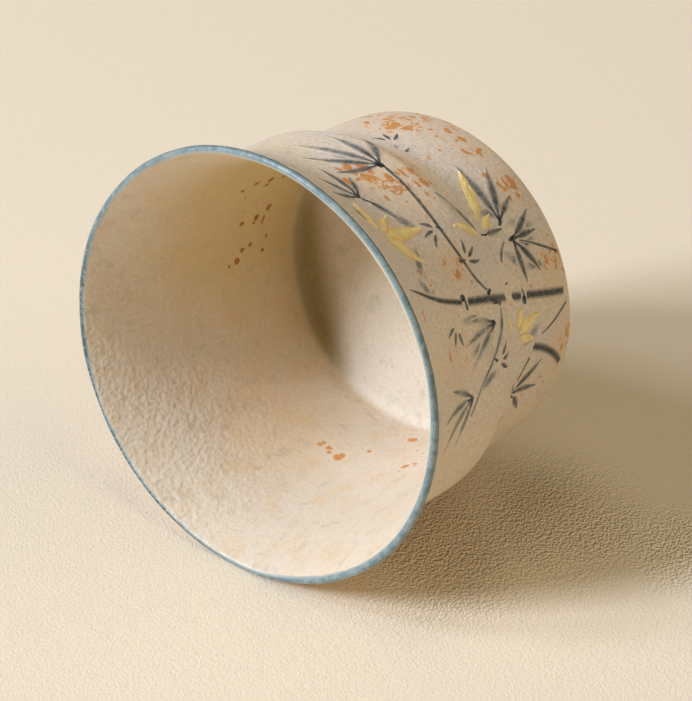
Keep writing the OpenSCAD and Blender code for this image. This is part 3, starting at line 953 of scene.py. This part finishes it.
def fill_groove(piece):
    """Softens the section at the joint groove, where the glaze lies thick."""
    bpy.ops.mesh.subdivide(number_cuts=2)
    select_where(piece, lambda co: abs(co.z - GROOVE_LEVEL * MM) < GROOVE_FILL * MM)
    bpy.ops.mesh.vertices_smooth(factor=0.5, repeat=GROOVE_ROUNDS)
    bpy.ops.mesh.select_all(action="SELECT")
    bpy.ops.mesh.dissolve_limited(angle_limit=STRAIGHT)
    bpy.ops.mesh.select_all(action="SELECT")


def turned_piece(node, name, filled=False):
    """The CAD node's own section, turned again round the axis in finer steps."""
    piece = copy_of(node, name)
    into_edit(piece)
    cut_through_axis((0, 1, 0), clear_outer=True)
    cut_through_axis((1, 0, 0), clear_outer=False)
    merge_points(SECTION_GAP)
    if filled:
        fill_groove(piece)
    bpy.ops.mesh.spin(
        steps=COAT_SIDES, dupli=False, angle=2 * math.pi,
        center=(0, 0, 0), axis=(0, 0, 1),
    )
    merge_points(SECTION_GAP)
    bpy.ops.mesh.normals_make_consistent(inside=False)
    bpy.ops.mesh.select_mode(type="EDGE")
    bpy.ops.mesh.select_all(action="DESELECT")
    bpy.ops.mesh.edges_select_sharp(sharpness=CORNER)
    bpy.ops.transform.edge_crease(value=1)
    bpy.ops.object.mode_set(mode="OBJECT")
    rounded(piece, COAT_LEVELS)
    bpy.ops.object.shade_smooth_by_angle(angle=CORNER)
    return piece


def vessel():
    """The clay as the CAD has it, and its three coats turned again."""
    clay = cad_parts["clay_body"].data
    clay.materials.clear()
    clay.materials.append(clay_finish())
    coat = turned_piece("outer_glaze", "outer_coat", filled=True)
    lining = turned_piece("inner_glaze", "bowl_lining")
    lip = turned_piece("lip_band", "blue_lip")
    unevenness = cloud("hand_turned", UNEVEN_WIDTH, "COLOR")
    for piece in (coat, lining, lip):
        moved_by(piece, unevenness, UNEVEN_DEPTH)
    show(coat, "outer_glaze", outer_glaze_finish())
    show(lining, "inner_glaze", inner_glaze_finish())
    show(lip, "lip_band", lip_glaze_finish())
    return coat


# The painted bamboo
def wall_of(node):
    """The CAD wall, ready to be searched for its nearest point."""
    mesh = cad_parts[node].data
    points = [point.co for point in mesh.vertices]
    return BVHTree.FromPolygons(points, [side.vertices for side in mesh.polygons])


def spot_on(wall, right_of_front, level):
    """Place and outward direction of the wall at an angle to the front and a level."""
    turn = math.radians(right_of_front - 90)
    out = Vector((math.cos(turn), math.sin(turn), 0))
    start = out * CLEAR_OF_CUP * MM + Vector((0, 0, level * MM))
    return wall.ray_cast(start, -out)[0], out


def write_on_points(piece, name, numbers):
    """Gives every point a number of its own, which the finish reads by this name."""
    made = piece.data.attributes.new(name, "FLOAT", "POINT")
    made.data.foreach_set("value", numbers)


def spread_edges(piece, loads, share):
    """Widens a stroke: each edge point moves away from the crest that it is joined to."""
    moves = {}
    for line in piece.data.edges:
        for here, there in (line.vertices, reversed(line.vertices)):
            if loads[here] == 0.0 and loads[there] == 1.0:
                gap = piece.data.vertices[here].co - piece.data.vertices[there].co
                if here not in moves or gap.length < moves[here].length:
                    moves[here] = gap
    for number, gap in moves.items():
        piece.data.vertices[number].co += gap * share


def wetness(piece, ink_load, hub):
    """Ink pools at the root of a leaf and thins out to its tip."""
    if hub is None:
        return [ink_load] * len(piece.data.vertices)
    return [
        ink_load * max(0.0, 1.0 - (point.co - hub).length / (LEAF_REACH * MM))
        for point in piece.data.vertices
    ]


def keep_upper_side(piece):
    """Clears all but the outer face of a stroke and pairs its triangles."""
    into_edit(piece, "FACE")
    bpy.ops.mesh.select_all(action="DESELECT")
    bpy.ops.object.mode_set(mode="OBJECT")
    for side in piece.data.polygons:
        outward = Vector((side.center.x, side.center.y, 0)).normalized()
        side.select = side.normal.dot(outward) < UPPER_SIDE
    bpy.ops.object.mode_set(mode="EDIT")
    bpy.ops.mesh.delete(type="FACE")
    bpy.ops.mesh.select_all(action="SELECT")
    bpy.ops.mesh.tris_convert_to_quads(face_threshold=math.pi, shape_threshold=math.pi)
    bpy.ops.object.mode_set(mode="OBJECT")


def brush_stroke(node, name, coat, wall, crest_mm, spread, ink_load=1.0, hub=None):
    """The upper face of a CAD stroke, laid on the glaze and given its load of colour."""
    piece = copy_of(node, name)
    loads = [
        1.0 if wall.find_nearest(point.co)[3] > crest_mm * MM else 0.0
        for point in piece.data.vertices
    ]
    spread_edges(piece, loads, spread)
    crest = piece.vertex_groups.new(name="crest")
    for number, amount in enumerate(loads):
        crest.add([number], amount, "REPLACE")
    write_on_points(piece, "load", loads)
    write_on_points(piece, "wet", wetness(piece, ink_load, hub))
    keep_upper_side(piece)
    rounded(piece, STROKE_LEVELS)
    lay_on(piece, coat, INK_HEIGHT)
    return piece


def ink_strokes(coat, wall, ink):
    for node, name, spread, ink_load, middle in INK_STROKES:
        hub = spot_on(wall, *middle)[0] if middle else None
        piece = brush_stroke(node, name, coat, wall, INK_CREST, spread, ink_load, hub)
        thickened(piece, INK_THICKNESS)
        bpy.ops.object.shade_smooth_by_angle(angle=CORNER)
        show(piece, node, ink)


def gold_strokes(coat, wall):
    gold = gold_finish()
    width_mm, height_mm = GOLD_LUMPS
    lumps = cloud("gold_lumps", width_mm)
    for node, name in GOLD_STROKES:
        piece = brush_stroke(node, name, coat, wall, GOLD_CREST, GOLD_SPREAD)
        ragged_edge(piece, *GOLD_RAGGED)
        lay_on(piece, coat, GOLD_HEIGHT)
        thickened(piece, GOLD_THICKNESS)
        apply_modifier(
            piece, "DISPLACE", texture=lumps, texture_coords="LOCAL",
            strength=height_mm * MM, mid_level=0.0, vertex_group="crest",
        )
        bpy.ops.object.shade_smooth_by_angle(angle=CORNER)
        show(piece, node, gold)


def brush_press(wall, middle, heading, length, width, ahead=0.0):
    """One flat oval mark, a little way ahead of its middle, set against the wall."""
    place, out = spot_on(wall, *middle)
    level_way = Vector((-out.y, out.x, 0))
    turn = math.radians(heading)
    way = level_way * math.cos(turn) + Vector((0, 0, math.sin(turn)))
    pick_none()
    bpy.ops.mesh.primitive_circle_add(
        vertices=MARK_SIDES, radius=0.5 * MM, fill_type="TRIFAN",
        location=place + out * MARK_LIFT * MM + way * ahead * MM,
    )
    mark = bpy.context.object
    mark.rotation_euler = Matrix((way, out.cross(way), out)).transposed().to_euler()
    mark.scale = (length, width, 1)
    bpy.ops.object.transform_apply(location=True, rotation=True, scale=True)
    return mark


def joined(marks, name):
    pick(marks[0])
    for mark in marks:
        mark.select_set(True)
    bpy.ops.object.join()
    marks[0].name = name
    return marks[0]


def laid_marks(piece, coat, ragged, height_mm, thickness_mm, finish):
    """Rounds flat marks off, lays them on the glaze and gives them their ink."""
    rounded(piece, STROKE_LEVELS)
    ragged_edge(piece, *ragged)
    lay_on(piece, coat, height_mm)
    thickened(piece, thickness_mm)
    bpy.ops.object.shade_smooth_by_angle(angle=CORNER)
    piece.data.materials.append(finish)
    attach(piece, "root")


def brush_knots(coat, wall):
    """The dark presses of the brush where branches, joints and leaves meet."""
    marks = [brush_press(wall, *knot) for knot in KNOTS]
    ahead = STALK_AHEAD * STALK_LENGTH
    marks += [
        brush_press(wall, middle, heading, STALK_LENGTH, STALK_WIDTH, ahead)
        for middle, headings in STALKS for heading in headings
    ]
    piece = joined(marks, "brush_knots")
    laid_marks(piece, coat, KNOT_RAGGED, KNOT_HEIGHT, KNOT_THICKNESS, knot_finish())


def pale_washes(coat, wall, ink):
    """Thin leaves that the brush laid first: each fades from its middle to its edge."""
    piece = joined([brush_press(wall, *wash) for wash in WASHES], "pale_washes")
    lines_at = [0] * len(piece.data.vertices)
    for line in piece.data.edges:
        for number in line.vertices:
            lines_at[number] += 1
    loads = [1.0 if count > 3 else WASH_EDGE for count in lines_at]
    write_on_points(piece, "load", loads)
    write_on_points(piece, "wet", [WASH_WETNESS] * len(loads))
    laid_marks(piece, coat, WASH_RAGGED, WASH_HEIGHT, WASH_THICKNESS, ink)


def painting(coat):
    ink = ink_finish()
    wall = wall_of("outer_glaze")
    ink_strokes(coat, wall, ink)
    brush_knots(coat, wall)
    pale_washes(coat, wall, ink)
    gold_strokes(coat, wall)


# Studio
def camera():
    data = bpy.data.cameras.new("photo_camera")
    data.lens = LENS_MM
    data.sensor_width = SENSOR_MM
    data.clip_start = NEAREST_SEEN_MM * MM
    made = bpy.data.objects.new("photo_camera", data)
    bpy.context.scene.collection.objects.link(made)
    turn = Matrix((CAMERA_RIGHT, CAMERA_UP, CAMERA_BACK)).transposed().to_4x4()
    made.matrix_world = Matrix.Translation(Vector(CAMERA_PLACE_MM) * MM) @ turn
    bpy.context.scene.camera = made


def lamp(name, aim, width, height, power, colour):
    """A soft window of light, some way off in one direction and turned to the cup."""
    data = bpy.data.lights.new(name, "AREA")
    data.shape = "RECTANGLE"
    data.size = width
    data.size_y = height
    data.energy = power
    data.color = colour
    made = bpy.data.objects.new(name, data)
    bpy.context.scene.collection.objects.link(made)
    away = Vector(aim).normalized()
    side = Vector(CAMERA_UP).cross(away).normalized()
    turn = Matrix((side, away.cross(side), away)).transposed()
    middle = Vector(LAMP_TARGET_MM) * MM + away * LAMP_DISTANCE
    made.matrix_world = Matrix.Translation(middle) @ turn.to_4x4()


def leather_creases(finish, place):
    return grain(finish, place, 0.46, detail=1.0, distortion=0.5)


def leather_finish():
    """Pale leather, its grain with painted light and shade, painted darker in the cup's
    shadow, and clear seen from behind.
    """
    finish = new_finish("pale_leather")
    place = place_on_piece(finish)
    creases = leather_creases(finish, place)
    # Painted light and shade on the grain: each crease against its neighbour toward the
    # light
    aside = Vector(GRAIN_PAINTED_LIGHT_WAY) * GRAIN_SIDE_MM * MM
    beside = vector_sums(finish, "ADD", place, aside)["Vector"]
    painted_grain_light = less(finish, creases, leather_creases(finish, beside))
    near = step_mm(finish, reach_along(finish, place, NEAR_SIDE), NEAR_REACH, (0.2, 1))
    # Where the grain shows most: both its relief and its painted light and shade
    worn = patches(finish, place, LEATHER_PITS)
    colour = shaded(finish, CREAM, step(finish, creases, (0.3, 0.7), (0.98, 1.02)))
    # Painted shadow: the leather darkened in the two patches farthest into the cup's
    # shadow
    painted_shadow = times(finish, patches(finish, place, PAINTED_SHADOW_PITS), 0.40)
    colour = mixed(finish, painted_shadow, colour, LEATHER_PAINTED_SHADOW)
    # The painted light and shade of the creases, strongest where the grain shows most
    painted_grain_shade = times(finish, step(finish, painted_grain_light, (-0.16, 0.16), (-1, 1)), worn)
    painted_grain_shade = plus(finish, times(finish, painted_grain_shade, 0.6), 1.0)
    colour = shaded(finish, colour, painted_grain_shade)
    relief = bumped(finish, times(finish, creases, near), 0.13)
    relief = bumped(finish, times(finish, creases, worn), 0.16, relief)
    dressed(finish, colour, 0.9, relief, LEATHER_GLOSS)
    behind = add(finish, "ShaderNodeNewGeometry").outputs["Backfacing"]
    shadow_ray = add(finish, "ShaderNodeLightPath").outputs["Is Shadow Ray"]
    clear = add(finish, "ShaderNodeBsdfTransparent").outputs[0]
    leather = finish.node_tree.nodes["Principled BSDF"].outputs[0]
    unseen = larger_of(finish, behind, shadow_ray)
    mixed_shaders(finish, unseen, leather, clear, "Material Output")
    return finish


def table():
    """The pale leather that the cup lies on, seen only from its own side."""
    pick_none()
    bpy.ops.mesh.primitive_plane_add(size=TABLE_SIDE)
    made = bpy.context.object
    made.name = "table_top"
    turn = Vector(TABLE_NORMAL).to_track_quat("Z", "Y").to_matrix().to_4x4()
    made.matrix_world = Matrix.Translation(Vector(TABLE_POINT_MM) * MM) @ turn
    bpy.ops.object.transform_apply(location=True, rotation=True, scale=True)
    made.data.materials.append(leather_finish())


def room():
    """Soft warm light from all round, and the table's own colour behind everything."""
    world = bpy.data.worlds.new("studio")
    bpy.context.scene.world = world
    world.use_nodes = True
    light = world.node_tree.nodes["Background"]
    light.inputs["Color"].default_value = FILL_LIGHT + (1,)
    light.inputs["Strength"].default_value = ROOM_LIGHT
    seen = add(world, "ShaderNodeBackground")
    seen.inputs["Color"].default_value = CREAM
    seen.inputs["Strength"].default_value = 1.0
    camera_ray = add(world, "ShaderNodeLightPath").outputs["Is Camera Ray"]
    mixed_shaders(world, camera_ray, light.outputs[0], seen.outputs[0], "World Output")


def studio():
    camera()
    table()
    room()
    for window in LAMPS:
        lamp(*window)
    bpy.context.scene.view_settings.view_transform = "Standard"


painting(vessel())
studio()

pick_none()
